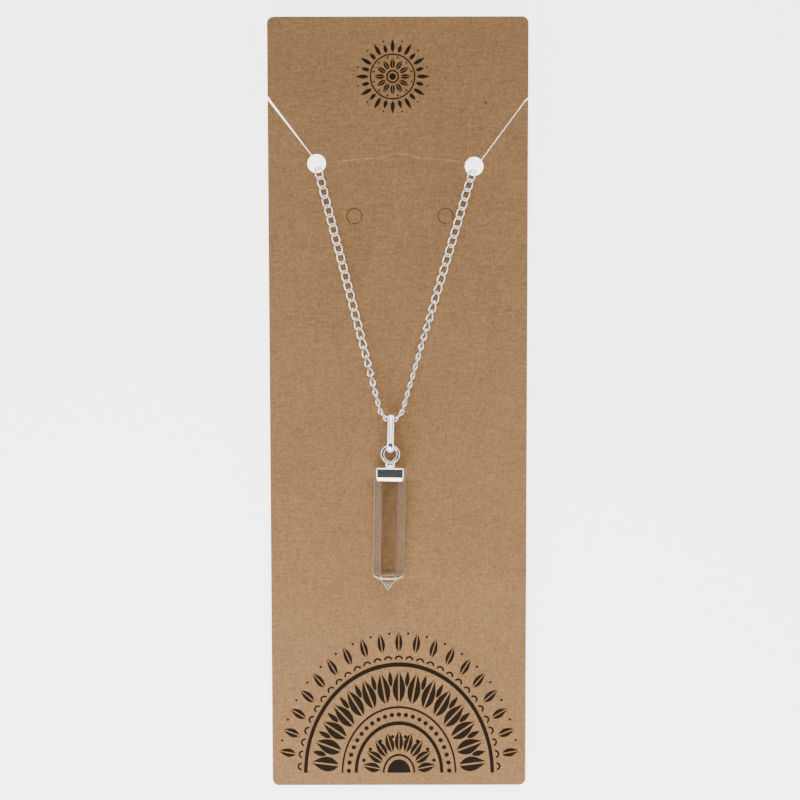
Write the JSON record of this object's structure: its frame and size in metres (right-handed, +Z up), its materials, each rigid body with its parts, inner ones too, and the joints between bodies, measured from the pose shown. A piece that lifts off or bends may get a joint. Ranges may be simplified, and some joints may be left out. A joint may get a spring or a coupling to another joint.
{
  "type": "crystal point pendant necklace on a display card",
  "caption": "Silver curb chain with a clear hexagonal crystal point under a cap and a long bail, threaded through holes in a tall kraft card and closed behind it.",
  "frame": {"origin": "Under the middle of the card, at the height of the surface that the object lies on", "axes": "+X to the right of the card's face, +Y to the card's top, +Z up out of the card's face"},
  "size_m": [0.07, 0.21, 0.0122],
  "materials": {
    "kraft_card": "matte",
    "silver": "polished",
    "crystal": "polished"
  },
  "bodies": {
    "root": {"card": "kraft_card", "chain_front": "silver", "chain_back": "silver", "clasp": "silver", "bail": "silver", "cap": "silver", "crystal": "crystal"}
  },
  "joints": []
}
